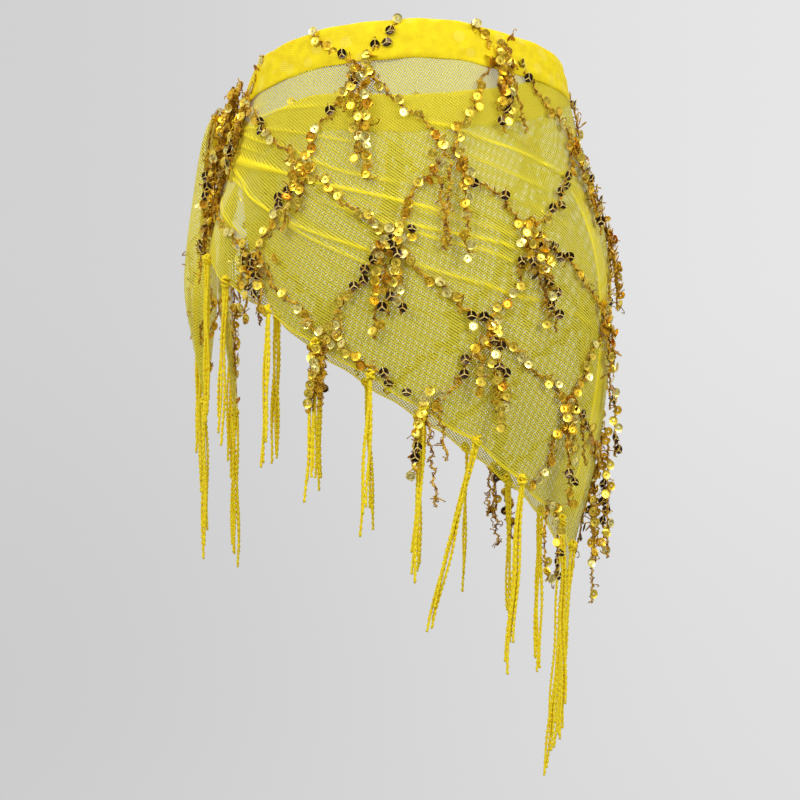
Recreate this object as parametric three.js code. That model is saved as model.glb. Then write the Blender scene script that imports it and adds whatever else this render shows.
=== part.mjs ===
// A belly dance hip scarf in its worn form, with nobody in it. A long triangle of net goes round a hollow hip
// shape: its long edge is rolled down into a waistband, its deep corner hangs at the +X hip, and its two ends are
// gathered, tied in one knot at the -X hip and left hanging as tails. Yarn tassels hang from both short edges.
// Millimetres, +Z up. -Y is the wearer's back. The origin is the middle of the waistband's ring.
import * as THREE from "three";

const NET_WALL = 1.5;
const BAND_WALL = 3;
const BAND_HEIGHT = 32;
const BAND_SHARE = 0.34; // of the cloth's height, where it is gathered to less than the band would take
const BAND_PROUD = 0.8;
const SEAM_GAP = 0.3;
const BAND_GAP = 0.6; // from the band down to the net, which turn differently in the gathers

const TASSEL_RADIUS = 5;
const TASSEL_SIDES = 8;
const TASSEL_OVERLAP = 4; // how far a tassel's knot stands above the hem that it is tied through

// The general hip figure that the cloth goes round: half sizes of its oval at each height.
const FIGURE = [
  { z: 45, halfWidth: 126, halfDepth: 88 },
  { z: 0, halfWidth: 134, halfDepth: 95 },
  { z: -70, halfWidth: 151, halfDepth: 107 },
  { z: -125, halfWidth: 167, halfDepth: 117 },
  { z: -175, halfWidth: 175, halfDepth: 122 },
  { z: -225, halfWidth: 175, halfDepth: 122 },
  { z: -285, halfWidth: 168, halfDepth: 117 },
  { z: -345, halfWidth: 156, halfDepth: 109 },
  { z: -415, halfWidth: 138, halfDepth: 98 },
  { z: -495, halfWidth: 120, halfDepth: 86 },
];

// Heights of the cloth's top and hem round the figure, and how far the knot pulls the cloth off the figure.
// Angle 0 is the back, 90 the +X hip and 180 the front.
const STATIONS = [
  { angle: -96.5, top: -28, hem: -84, lift: 9 },
  { angle: -90, top: -12, hem: -122, lift: 3 },
  { angle: -83, top: 4, hem: -146, lift: 0 },
  { angle: -72, top: 13, hem: -160, lift: 0 },
  { angle: -58, top: 19, hem: -178, lift: 0 },
  { angle: -42, top: 25, hem: -200, lift: 0 },
  { angle: -26, top: 31, hem: -229, lift: 0 },
  { angle: -10, top: 34, hem: -256, lift: 0 },
  { angle: 5, top: 35, hem: -284, lift: 0 },
  { angle: 20, top: 33, hem: -310, lift: 0 },
  { angle: 35, top: 28, hem: -340, lift: 0 },
  { angle: 50, top: 23, hem: -364, lift: 0 },
  { angle: 66, top: 18, hem: -388, lift: 0 },
  { angle: 80, top: 15, hem: -408, lift: 0 },
  { angle: 92, top: 14, hem: -426, lift: 0 },
  { angle: 104, top: 13, hem: -410, lift: 0 },
  { angle: 120, top: 11, hem: -386, lift: 0 },
  { angle: 140, top: 9, hem: -356, lift: 0 },
  { angle: 160, top: 7, hem: -321, lift: 0 },
  { angle: 180, top: 6, hem: -284, lift: 0 },
  { angle: 200, top: 5, hem: -246, lift: 0 },
  { angle: 218, top: 2, hem: -210, lift: 0 },
  { angle: 231, top: -8, hem: -166, lift: 0 },
  { angle: 238, top: -18, hem: -126, lift: 4 },
  { angle: 245, top: -30, hem: -80, lift: 11 },
];

// The stretches of the one cloth, as they follow each other round the figure.
const NET_STRETCHES = [
  { name: "net_gather_back", from: -96.5, to: -74, columns: 5 },
  { name: "net_back", from: -74, to: 62, columns: 24 },
  { name: "net_point", from: 62, to: 122, columns: 12 },
  { name: "net_front", from: 122, to: 214, columns: 14 },
  { name: "net_gather_front", from: 214, to: 245, columns: 6 },
];
const NET_ROWS = 20;
const BAND_STRETCHES = [
  { name: "band_back", from: -96.5, to: 62 },
  { name: "band_side", from: 62, to: 122 },
  { name: "band_front", from: 122, to: 245 },
];
const BAND_ROWS = 1;

// The largest folds, which run from the knot round the back: each ridge's two ends, its height and half width.
const FOLDS = [
  { from: -97, fromZ: -42, to: -18, toZ: -32, height: 3, reach: 12 },
  { from: -97, fromZ: -50, to: 12, toZ: -84, height: 3, reach: 12 },
  { from: -97, fromZ: -58, to: 36, toZ: -134, height: 5, reach: 13 },
  { from: -97, fromZ: -72, to: 48, toZ: -176, height: 4, reach: 13 },
  { from: 246, fromZ: -46, to: 150, toZ: -56, height: 3, reach: 12 },
  { from: 246, fromZ: -56, to: 128, toZ: -124, height: 5, reach: 13 },
  { from: 246, fromZ: -68, to: 136, toZ: -180, height: 4, reach: 13 },
];

// Each tassel: where it hangs round the hem, its length, and how far it leans towards -X.
const HEM_TASSELS = [
  { angle: -74, length: 140, lean: 0 },
  { angle: -58, length: 136, lean: 2 },
  { angle: -40, length: 128, lean: 2 },
  { angle: -25, length: 128, lean: 3 },
  { angle: -10, length: 130, lean: 3 },
  { angle: 4, length: 140, lean: 4 },
  { angle: 19, length: 158, lean: 14 },
  { angle: 35, length: 158, lean: 4 },
  { angle: 57, length: 182, lean: 0 },
  { angle: 73, length: 172, lean: 5 },
  { angle: 92, length: 176, lean: 6 },
  { angle: 110, length: 160, lean: 3 },
  { angle: 128, length: 146, lean: 1 },
  { angle: 145, length: 150, lean: 0 },
  { angle: 161, length: 134, lean: 2 },
  { angle: 177, length: 146, lean: 0 },
  { angle: 193, length: 138, lean: -2 },
  { angle: 208, length: 130, lean: 0 },
  { angle: 222, length: 136, lean: 1 },
];

// The knot's middle and half sizes: along the hip, out from it, and up.
const KNOT = { x: -153, y: 33, z: -52, along: 18, out: 15, up: 25, turn: -22 };

// The tails, row by row down their middles: half the gathered width, and how deep the folds across it are.
const TAILS = [
  {
    name: "tail_back",
    folds: 1.5,
    rows: [
      { down: 0, x: -158, y: 36, z: -22, half: 11, depth: 1 },
      { down: 0.07, x: -167, y: 36, z: -21, half: 13, depth: 2 },
      { down: 0.16, x: -175, y: 36, z: -42, half: 16, depth: 4 },
      { down: 0.36, x: -180, y: 35, z: -95, half: 25, depth: 7 },
      { down: 0.58, x: -184, y: 32, z: -152, half: 36, depth: 10 },
      { down: 0.7, x: -185, y: 31, z: -184, half: 38, depth: 9 },
      { down: 0.86, x: -182, y: 31, z: -228, half: 22, depth: 6 },
      { down: 1, x: -178, y: 31, z: -272, half: 5, depth: 1 },
    ],
    tassels: [
      { across: -1, down: 0.7, length: 136 },
      { across: -1, down: 0.86, length: 130 },
      { across: 0, down: 1, length: 142 },
    ],
  },
  {
    name: "tail_front",
    folds: 1,
    rows: [
      { down: 0, x: -150, y: 48, z: -79, half: 8, depth: 1 },
      { down: 0.2, x: -161, y: 62, z: -106, half: 14, depth: 3 },
      { down: 0.45, x: -166, y: 76, z: -154, half: 24, depth: 5 },
      { down: 0.62, x: -165, y: 80, z: -192, half: 26, depth: 5 },
      { down: 0.82, x: -160, y: 82, z: -238, half: 14, depth: 3 },
      { down: 1, x: -156, y: 83, z: -284, half: 5, depth: 1 },
    ],
    tassels: [
      { across: -1, down: 0.7, length: 134 },
      { across: 0, down: 1, length: 142 },
    ],
  },
];
const TAIL_COLUMNS = 10;
const TAIL_ROWS = 14;

const netYellow = new THREE.MeshStandardMaterial({ color: 0xe9dc3c, roughness: 0.75, metalness: 0 });
const bandYellow = new THREE.MeshStandardMaterial({ color: 0xf7e000, roughness: 0.7, metalness: 0 });
const yarnYellow = new THREE.MeshStandardMaterial({ color: 0xf2d818, roughness: 0.85, metalness: 0 });

const radians = THREE.MathUtils.degToRad;
const scarf = new THREE.Group();

/** A table's column at a value of its key, on a smooth cubic through the rows and held at the ends. */
function smooth(table, key, column, at) {
  const last = table.length - 1;
  const way = Math.sign(table[last][key] - table[0][key]);
  let row = 0;
  while (row < last - 1 && (at - table[row + 1][key]) * way > 0) row++;
  const slope = (k) => {
    const before = table[Math.max(k - 1, 0)];
    const after = table[Math.min(k + 1, last)];
    return (after[column] - before[column]) / (after[key] - before[key]);
  };
  const step = table[row + 1][key] - table[row][key];
  const t = THREE.MathUtils.clamp((at - table[row][key]) / step, 0, 1);
  const start = (1 + 2 * t) * (1 - t) ** 2 * table[row][column];
  const end = (3 - 2 * t) * t ** 2 * table[row + 1][column];
  return start + end + step * t * (1 - t) * ((1 - t) * slope(row) - t * slope(row + 1));
}

/** How far the folds lift the cloth at a place: each is a rounded ridge that fades out at its two ends. */
function foldLift(angle, z) {
  let lift = 0;
  for (const fold of FOLDS) {
    const t = (angle - fold.from) / (fold.to - fold.from);
    if (t <= 0 || t >= 1) continue;
    const off = (z - THREE.MathUtils.lerp(fold.fromZ, fold.toZ, t)) / fold.reach;
    lift += fold.height * Math.sin(Math.PI * t) ** 0.6 * Math.exp(-off * off);
  }
  return lift;
}

/** A point of the worn cloth's outer face, and as far outside it as proud says. */
function clothPoint(angle, z, proud = 0) {
  const out = proud + smooth(STATIONS, "angle", "lift", angle) + foldLift(angle, z);
  const across = smooth(FIGURE, "z", "halfWidth", z) + out;
  const deep = smooth(FIGURE, "z", "halfDepth", z) + out;
  return new THREE.Vector3(across * Math.sin(radians(angle)), -deep * Math.cos(radians(angle)), z);
}

/** The top, the band's lower edge and the hem of the cloth at an angle. */
function heights(angle) {
  const top = smooth(STATIONS, "angle", "top", angle);
  const hem = smooth(STATIONS, "angle", "hem", angle);
  return { top, hem, bandEnd: top - Math.min(BAND_HEIGHT, BAND_SHARE * (top - hem)) };
}

/** Equal steps from one value to another. */
function steps(from, to, count) {
  return Array.from({ length: count + 1 }, (_, i) => THREE.MathUtils.lerp(from, to, i / count));
}

/** A closed wall of cloth on a grid: place(u, v) gives its outer face, u along and v down; the inner face is inside. */
function wallGeometry(us, vs, place, wall) {
  const nudge = 1e-3;
  const outer = [];
  const inner = [];
  for (const v of vs) {
    for (const u of us) {
      const along = place(u + nudge, v).sub(place(u - nudge, v));
      const down = place(u, v + nudge).sub(place(u, v - nudge));
      const inward = along.cross(down).normalize();
      const point = place(u, v);
      outer.push(...point);
      inner.push(...point.addScaledVector(inward, wall));
    }
  }
  const columns = us.length - 1;
  const rows = vs.length - 1;
  const across = columns + 1;
  const behind = across * (rows + 1);
  const faces = [];
  const quad = (a, b, c, d) => faces.push(a, b, c, a, c, d);
  for (let j = 0; j < rows; j++) {
    for (let i = 0; i < columns; i++) {
      const a = j * across + i;
      quad(a, a + across, a + across + 1, a + 1);
      quad(behind + a, behind + a + 1, behind + a + across + 1, behind + a + across);
    }
    const left = j * across;
    const right = left + columns;
    quad(left, behind + left, behind + left + across, left + across);
    quad(right, right + across, behind + right + across, behind + right);
  }
  for (let i = 0; i < columns; i++) {
    const low = rows * across + i;
    quad(i, i + 1, behind + i + 1, behind + i);
    quad(low, behind + low, behind + low + 1, low + 1);
  }
  const geometry = new THREE.BufferGeometry();
  geometry.setAttribute("position", new THREE.Float32BufferAttribute([...outer, ...inner], 3));
  geometry.setIndex(faces);
  geometry.computeVertexNormals();
  return geometry;
}

/** Adds a named mesh to the scarf. */
function add(name, geometry, material) {
  const mesh = new THREE.Mesh(geometry, material);
  mesh.name = name;
  scarf.add(mesh);
  return mesh;
}

// Band and net turn at the same angles, so that their faceted edges match where they meet.
const COLUMN_ANGLES = NET_STRETCHES.flatMap((stretch) => steps(stretch.from, stretch.to, stretch.columns));

/** One stretch of cloth round the figure, between the two heights that edges(angle) gives. */
function addStretch(stretch, rows, edges, proud, wall, material) {
  // Half a seam's gap, as an angle at the waist's radius, is left at each end.
  const gap = THREE.MathUtils.radToDeg(SEAM_GAP / 2 / FIGURE[0].halfDepth);
  const between = COLUMN_ANGLES.filter((angle) => angle > stretch.from && angle < stretch.to);
  const angles = [stretch.from + gap, ...new Set(between), stretch.to - gap];
  const place = (angle, v) => {
    const [high, low] = edges(angle);
    return clothPoint(angle, THREE.MathUtils.lerp(high, low, v), proud);
  };
  add(stretch.name, wallGeometry(angles, steps(0, 1, rows), place, wall), material);
}

// The net, from the band's lower edge to the hem.
for (const stretch of NET_STRETCHES) {
  const edges = (angle) => [heights(angle).bandEnd - BAND_GAP, heights(angle).hem];
  addStretch(stretch, NET_ROWS, edges, 0, NET_WALL, netYellow);
}

// The waistband, the long edge rolled down in four layers.
for (const stretch of BAND_STRETCHES) {
  const edges = (angle) => [heights(angle).top, heights(angle).bandEnd];
  addStretch(stretch, BAND_ROWS, edges, BAND_PROUD, BAND_WALL, bandYellow);
}

// The knot, a round lump of cloth with a groove where one end wraps the other.
function knotGeometry() {
  const geometry = new THREE.SphereGeometry(1, 16, 12);
  const place = geometry.getAttribute("position");
  const groove = 0.14;
  for (let i = 0; i < place.count; i++) {
    const point = new THREE.Vector3().fromBufferAttribute(place, i);
    const size = 1 - groove * Math.exp(-((point.x + 0.5 * point.y) ** 2) / 0.06);
    place.setXYZ(i, point.x * size * KNOT.out, point.z * size * KNOT.along, point.y * size * KNOT.up);
  }
  // Y and Z were exchanged above, which turns the faces round, so each face is turned back.
  const faces = geometry.index.array;
  for (let i = 0; i < faces.length; i += 3) [faces[i + 1], faces[i + 2]] = [faces[i + 2], faces[i + 1]];
  geometry.computeVertexNormals();
  return geometry;
}
const knot = add("knot", knotGeometry(), netYellow);
knot.position.set(KNOT.x, KNOT.y, KNOT.z);
knot.rotation.z = radians(KNOT.turn);

/** A tassel's solid, hanging down from its own origin: the tied knot, the bundle, and its thin end. */
function tasselGeometry(length) {
  const outline = [
    [0, 0],
    [0.8, -1],
    [1, -4],
    [0.7, -8],
    [0.9, -0.3 * length],
    [1, -0.7 * length],
    [0.5, -length + 1],
    [0, -length],
  ];
  const profile = outline.map(([radius, z]) => new THREE.Vector2(radius * TASSEL_RADIUS, z)).reverse();
  return new THREE.LatheGeometry(profile, TASSEL_SIDES).rotateX(Math.PI / 2);
}

/** Hangs a tassel at a point, leaning towards -X by an angle in degrees. */
function addTassel(name, length, point, lean) {
  const tassel = add(name, tasselGeometry(length), yarnYellow);
  tassel.position.copy(point);
  tassel.rotation.y = radians(lean);
}

const tasselClear = TASSEL_RADIUS + SEAM_GAP;
HEM_TASSELS.forEach((row, n) => {
  const hem = heights(row.angle).hem;
  const widest = Math.max(...[0, -20, -40].map((drop) => smooth(FIGURE, "z", "halfDepth", hem + drop)));
  const clear = tasselClear + Math.max(0, widest - smooth(FIGURE, "z", "halfDepth", hem));
  const point = clothPoint(row.angle, hem + TASSEL_OVERLAP, clear);
  addTassel(`tassel_hem_${String(n + 1).padStart(2, "0")}`, row.length, point, row.lean);
});

/** A point of a tail's outer face: across runs from -1 to 1 over its width, and the folds are waves across it. */
function tailPoint(tail, across, down) {
  const at = (column) => smooth(tail.rows, "down", column, down);
  const wave = at("depth") * Math.cos(Math.PI * tail.folds * across);
  return new THREE.Vector3(at("x") - wave, at("y") - across * at("half"), at("z"));
}

for (const tail of TAILS) {
  // u runs towards -X's right hand, which is -Y, so that the outer face looks along -X.
  const place = (u, v) => tailPoint(tail, 1 - 2 * u, v);
  add(tail.name, wallGeometry(steps(0, 1, TAIL_COLUMNS), steps(0, 1, TAIL_ROWS), place, NET_WALL), netYellow);
  tail.tassels.forEach((row, n) => {
    const point = tailPoint(tail, row.across, row.down);
    if (row.down < 1) point.x -= tasselClear + 1;
    else point.z -= 2 * SEAM_GAP;
    addTassel(`tassel_${tail.name}_${n + 1}`, row.length, point, 0);
  });
}

export default scarf;
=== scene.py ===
"""A belly dance hip scarf of sheer yellow net in its worn form: a rolled waistband, sequin strings sewn in
diamonds, yarn tassels round the hem, and a knot at one hip with its two tails. The scene is in metres, +Z up,
with the wearer's back at -Y. The cloth's tables and sizes are in millimetres and degrees."""

import math

import bpy
import numpy as np
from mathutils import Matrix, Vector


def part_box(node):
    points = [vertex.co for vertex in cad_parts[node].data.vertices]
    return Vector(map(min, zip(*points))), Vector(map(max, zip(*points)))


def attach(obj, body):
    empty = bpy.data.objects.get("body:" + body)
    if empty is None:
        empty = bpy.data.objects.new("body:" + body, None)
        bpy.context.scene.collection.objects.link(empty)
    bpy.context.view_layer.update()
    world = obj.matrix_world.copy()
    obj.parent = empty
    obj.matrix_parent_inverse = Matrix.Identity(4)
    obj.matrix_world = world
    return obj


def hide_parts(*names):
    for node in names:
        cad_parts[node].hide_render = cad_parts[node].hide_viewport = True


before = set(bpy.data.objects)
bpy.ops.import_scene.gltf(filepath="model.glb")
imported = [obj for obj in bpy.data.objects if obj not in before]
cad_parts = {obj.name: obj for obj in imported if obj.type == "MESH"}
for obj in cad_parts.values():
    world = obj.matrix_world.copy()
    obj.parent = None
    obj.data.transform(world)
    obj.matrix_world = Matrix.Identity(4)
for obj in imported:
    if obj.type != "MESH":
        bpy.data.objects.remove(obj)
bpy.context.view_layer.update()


# --- Camera and studio ----------------------------------------------------
# The camera stands 1.5 m behind the wearer, level with the middle of the scarf. A pale round wall curves up
# from the floor and glows evenly, a little brighter to the right. Soft lamps stand above and to both sides,
# and one stands beyond the scarf and shines through the net.

camera = bpy.data.objects.new("camera", bpy.data.cameras.new("camera"))
camera.location = (-0.007, -1.5, -0.273)
camera.rotation_euler = (math.pi / 2, 0, 0)
camera.data.sensor_width = 36
camera.data.lens = 78.5
bpy.context.scene.collection.objects.link(camera)
bpy.context.scene.camera = camera
bpy.context.scene.view_settings.view_transform = "Standard"
bpy.context.scene.cycles.transparent_max_bounces = 24


def nodes_of(material):
    """The material's node tree, and the Principled shader in it."""
    material.use_nodes = True
    return material.node_tree, material.node_tree.nodes["Principled BSDF"]


def add_mesh(name, points, faces, material=None, smooth=True, uv=None, colours=None, layers=None):
    """A mesh object at the origin, made from whole arrays: points, faces of one size, and a value for each
    point."""
    mesh = bpy.data.meshes.new(name)
    points = np.asarray(points, np.float32)
    faces = np.asarray(faces, np.int32)
    count, size = faces.shape
    mesh.vertices.add(len(points))
    mesh.vertices.foreach_set("co", points.ravel())
    mesh.loops.add(count * size)
    mesh.loops.foreach_set("vertex_index", faces.ravel())
    mesh.polygons.add(count)
    mesh.polygons.foreach_set("loop_start", np.arange(0, count * size, size, dtype=np.int32))
    mesh.update(calc_edges=True)
    mesh.polygons.foreach_set("use_smooth", np.full(count, smooth))
    if uv is not None:
        mesh.uv_layers.new(name="UVMap").data.foreach_set("uv", np.float32(uv)[faces.ravel()].ravel())
    if colours is not None:
        tones = mesh.color_attributes.new("tone", "FLOAT_COLOR", "POINT")
        tones.data.foreach_set("color", np.float32(colours).ravel())
    if layers is not None:
        mesh.attributes.new("layers", "FLOAT", "POINT").data.foreach_set("value", np.float32(layers).ravel())
    mesh.validate()
    piece = bpy.data.objects.new(name, mesh)
    bpy.context.scene.collection.objects.link(piece)
    if material:
        mesh.materials.append(material)
    return piece


def grid_faces(rows, columns, closed=False, ring=False):
    """Quads of a grid of points, row by row: closed joins the last column to the first, and ring the last row
    to the first. They look along the rows' way crossed with the columns' way."""
    across_rows = np.arange(rows if ring else rows - 1)
    j, i = np.meshgrid(across_rows, np.arange(columns if closed else columns - 1), indexing="ij")
    here, next_row, beside = j * columns, (j + 1) % rows * columns, (i + 1) % columns
    return np.stack([here + i, next_row + i, next_row + beside, here + beside], -1).reshape(-1, 4)


# The wall's section, turned round the middle: a flat floor, a quarter circle and an upright.
WALL_RADIUS, WALL_TOP, WALL_SIDES = 2.7, 3.2, 96
FLOOR, FLOOR_START = -0.95, 0.02
CURVE_RADIUS = 0.8
sweep = np.linspace(0, np.pi / 2, 12)
curve_out = WALL_RADIUS - CURVE_RADIUS + CURVE_RADIUS * np.sin(sweep)
curve_up = FLOOR + CURVE_RADIUS - CURVE_RADIUS * np.cos(sweep)
profile = np.concatenate([
    [(FLOOR_START, FLOOR)],
    np.stack([curve_out, curve_up], -1),
    [(WALL_RADIUS, WALL_TOP)],
])
turn = np.linspace(0, 2 * np.pi, WALL_SIDES, endpoint=False)
wall_points = np.stack([
    profile[:, :1] * np.cos(turn), profile[:, :1] * np.sin(turn), profile[:, 1:] + 0 * turn], -1)
studio_grey = bpy.data.materials.new("studio_grey")
tree, shader = nodes_of(studio_grey)
shader.inputs["Base Color"].default_value = (0, 0, 0, 1)
shader.inputs["Specular IOR Level"].default_value = 0
shader.inputs["Emission Color"].default_value = (1, 1, 1, 1)
wall_place = tree.nodes.new("ShaderNodeSeparateXYZ")
tree.links.new(tree.nodes.new("ShaderNodeTexCoord").outputs["Object"], wall_place.inputs[0])
glow = tree.nodes.new("ShaderNodeMath")
glow.operation = "MULTIPLY"
# The glow grows along an axis, from the dim value where it starts to the bright one where it ends.
WALL_GLOW = [("X", -1.0, 1.0, 0.64, 0.79), ("Z", -0.95, 0.1, 0.94, 1.0)]
for n, (axis, start, end, dim, bright) in enumerate(WALL_GLOW):
    across_wall = tree.nodes.new("ShaderNodeMapRange")
    across_wall.interpolation_type = "SMOOTHSTEP"
    for socket, value in zip(("From Min", "From Max", "To Min", "To Max"), (start, end, dim, bright)):
        across_wall.inputs[socket].default_value = value
    tree.links.new(wall_place.outputs[axis], across_wall.inputs["Value"])
    tree.links.new(across_wall.outputs["Result"], glow.inputs[n])
tree.links.new(glow.outputs[0], shader.inputs["Emission Strength"])
wall_faces = grid_faces(len(profile), WALL_SIDES, closed=True)
studio = add_mesh("studio", wall_points.reshape(-1, 3), wall_faces, studio_grey)
studio.visible_glossy = False
studio.visible_diffuse = False
studio.visible_shadow = False

# Around it all a soft pattern of dark and bright cards, for the sequins to reflect.
world = bpy.data.worlds.new("studio_world")
bpy.context.scene.world = world
world.use_nodes = True
tree = world.node_tree
background = tree.nodes["Background"]
direction = tree.nodes.new("ShaderNodeTexCoord")
cards = tree.nodes.new("ShaderNodeTexNoise")
cards.inputs["Scale"].default_value = 2.2
cards.inputs["Detail"].default_value = 0
card_ramp = tree.nodes.new("ShaderNodeValToRGB")
card_ramp.color_ramp.elements[0].position = 0.40
card_ramp.color_ramp.elements[0].color = (0.10, 0.10, 0.10, 1)
card_ramp.color_ramp.elements[1].position = 0.60
card_ramp.color_ramp.elements[1].color = (1, 1, 1, 1)
tree.links.new(direction.outputs["Generated"], cards.inputs["Vector"])
tree.links.new(cards.outputs["Fac"], card_ramp.inputs["Fac"])
tree.links.new(card_ramp.outputs["Color"], background.inputs["Color"])
background.inputs["Strength"].default_value = 0.85

# The lamps: each one's place, its power in watts and its width. They all face the middle of the scarf.
LIT_PLACE = (0, 0, -0.2)
for place, power, width in [
    ((-1.3, -1.5, 1.1), 21, 0.9),
    ((1.5, -1.3, 0.6), 16, 0.9),
    ((0.2, 1.6, 1.2), 17, 1.0),
    ((0.1, -0.4, 1.7), 11, 1.0),
]:
    lamp = bpy.data.objects.new("lamp", bpy.data.lights.new("lamp", "AREA"))
    lamp.data.energy = power
    lamp.data.size = width
    aim = np.array(LIT_PLACE) - place
    tilt = math.acos(-aim[2] / np.linalg.norm(aim))
    lamp.location = place
    lamp.rotation_euler = (tilt, 0, math.atan2(aim[1], aim[0]) - math.pi / 2)
    bpy.context.scene.collection.objects.link(lamp)


# --- The net --------------------------------------------------------------
# One long triangle of soft polyester net goes round the hips from the knot and back to it. It is one layer
# thick, with creases that run out from the knot to both sides, bright where the net lies double or triple.

MM = 0.001
# The angles at which the net's two ends go into the knot. Angle 0 is the back's middle and 90 the deep point.
KNOT_BACK = -96.5
KNOT_FRONT = 245.0


def table(names, rows):
    """A table as one array for each of its named columns."""
    return dict(zip(names.split(), np.array(rows, float).T))


def along(rows, key, column, at):
    """A table's column at values of its key: a cubic through the rows, whose slope at a row is that between
    its two neighbours, held level past both ends."""
    order = np.argsort(rows[key])
    k, c = rows[key][order], rows[column][order]
    slope = np.concatenate([[(c[1] - c[0]) / (k[1] - k[0])], (c[2:] - c[:-2]) / (k[2:] - k[:-2]),
                            [(c[-1] - c[-2]) / (k[-1] - k[-2])]])
    i = np.clip(np.searchsorted(k, at) - 1, 0, len(k) - 2)
    step = k[i + 1] - k[i]
    t = np.clip((at - k[i]) / step, 0, 1)
    bend = step * t * (1 - t) * ((1 - t) * slope[i] - t * slope[i + 1])
    return (1 + 2 * t) * (1 - t) ** 2 * c[i] + (3 - 2 * t) * t**2 * c[i + 1] + bend


# The general hip figure that the cloth goes round: an oval at each height.
hips = table("height half_width half_depth", [
    (45, 126, 88), (0, 134, 95), (-70, 151, 107), (-125, 167, 117), (-175, 175, 122),
    (-225, 175, 122), (-285, 168, 117), (-345, 156, 109), (-415, 138, 98), (-495, 120, 86),
])
# The cloth's top and hem round the figure, and how far the knot pulls the cloth off it.
edges = table("angle top hem lift", [
    (-96.5, -28, -84, 9), (-90, -12, -122, 3), (-83, 4, -146, 0), (-72, 13, -160, 0), (-58, 19, -178, 0),
    (-42, 25, -200, 0), (-26, 31, -229, 0), (-10, 34, -256, 0), (5, 35, -284, 0), (20, 33, -310, 0),
    (35, 28, -340, 0), (50, 23, -364, 0), (66, 18, -388, 0), (80, 15, -408, 0), (92, 14, -426, 0),
    (104, 13, -410, 0), (120, 11, -386, 0), (140, 9, -356, 0), (160, 7, -321, 0), (180, 6, -284, 0),
    (200, 5, -246, 0), (218, 2, -210, 0), (231, -8, -166, 0), (238, -18, -126, 4), (245, -30, -80, 11),
])
# The creases: each one's angles and its shares of the cloth's height there, its height and half width, and
# how many more layers of net lie in it.
back_creases = [
    ((-96, -63, -50, -24), (0.20, 0.29, 0.27, 0.25), 1.6, 1.6, 1.6),
    ((-96, -78, -57, -30, -6), (0.28, 0.32, 0.34, 0.355, 0.36), 1.4, 1.4, 1.3),
    ((-95, -59, -42, -20, 2), (0.30, 0.39, 0.41, 0.45, 0.44), 1.8, 1.5, 1.6),
    ((-97, -81, -62, -40), (0.42, 0.47, 0.49, 0.50), 3.2, 4.6, 3.2),
    ((-60, -31, -2, 18), (0.492, 0.502, 0.490, 0.475), 2.4, 1.9, 2.4),
    ((-8, 10, 25, 38), (0.505, 0.495, 0.48, 0.47), 1.6, 3.4, 0.8),
    ((-6, 12, 32, 50), (0.55, 0.53, 0.50, 0.49), 2.2, 1.7, 2.2),
    ((-28, -11, 2, 25, 36), (0.55, 0.56, 0.56, 0.54, 0.53), 1.8, 1.7, 1.7),
    ((-92, -67, -47, -20, 24, 40), (0.46, 0.55, 0.64, 0.655, 0.62, 0.59), 2.2, 1.7, 1.9),
    ((-94, -60, -34, -12, 0), (0.50, 0.60, 0.67, 0.69, 0.69), 1.8, 1.6, 1.5),
    ((0, 23, 43, 66), (0.26, 0.27, 0.27, 0.285), 1.8, 1.6, 1.9),
    ((14, 27, 39, 50), (0.32, 0.33, 0.33, 0.335), 1.4, 2.0, 1.0),
    ((24, 40, 60), (0.385, 0.39, 0.40), 1.2, 1.6, 0.8),
    ((-95, -70, -46), (0.58, 0.74, 0.78), 1.5, 2.2, 0.9),
    ((-94, -75, -55), (0.24, 0.245, 0.23), 1.2, 1.3, 1.0),
    ((30, 48, 66), (0.60, 0.585, 0.58), 1.3, 2.6, 0.7),
    ((-80, -60, -44), (0.40, 0.435, 0.45), 1.2, 1.4, 1.0),
]
front_creases = [
    ((244, 212, 198, 170), (0.22, 0.28, 0.27, 0.26), 1.7, 1.6, 1.5),
    ((244, 222, 200, 172, 150), (0.30, 0.34, 0.36, 0.37, 0.38), 1.5, 1.5, 1.4),
    ((244, 204, 184, 160), (0.36, 0.43, 0.46, 0.46), 1.8, 1.6, 1.6),
    ((245, 226, 206, 186), (0.44, 0.49, 0.52, 0.53), 3.0, 4.2, 2.9),
    ((206, 178, 150, 128), (0.525, 0.535, 0.52, 0.51), 2.2, 1.9, 2.2),
    ((243, 208, 176, 132), (0.52, 0.62, 0.66, 0.63), 2.0, 1.7, 1.8),
    ((244, 214, 182, 154), (0.60, 0.72, 0.74, 0.73), 1.6, 1.7, 1.2),
    ((152, 132, 112), (0.29, 0.285, 0.29), 1.7, 1.6, 1.6),
    ((142, 124, 108), (0.41, 0.40, 0.40), 1.4, 2.4, 0.9),
    ((158, 138, 118), (0.60, 0.585, 0.58), 1.6, 1.8, 1.4),
]
# The doubled turn that runs down the net on each side of the point: its angle at shares of the height.
turned_edges = [
    table("share angle", [(0.22, 58), (0.28, 61), (0.34, 66), (0.44, 69), (0.62, 70), (0.8, 68),
                          (0.97, 65)]),
    table("share angle", [(0.26, 124), (0.36, 118), (0.5, 114), (0.72, 113), (0.97, 118)]),
]
MM_PER_DEGREE = 2.3
TURN_HALF, TURN_START = 11.0, 0.22
# How much of their height and layers the creases get, how many degrees their ends take to fade, and how many
# more layers lie at the knot.
CREASE_HEIGHT, CREASE_LAYERS = 0.7, 1.1
FADE_IN, FADE_OUT = 10, 12
KNOT_LAYERS = 1.8


def bump(distance, half_width):
    """A rounded ridge's share of its height at a distance from its middle line: e to minus the square of the
    distance over the half width."""
    return np.exp(-((distance / half_width) ** 2))


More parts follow.
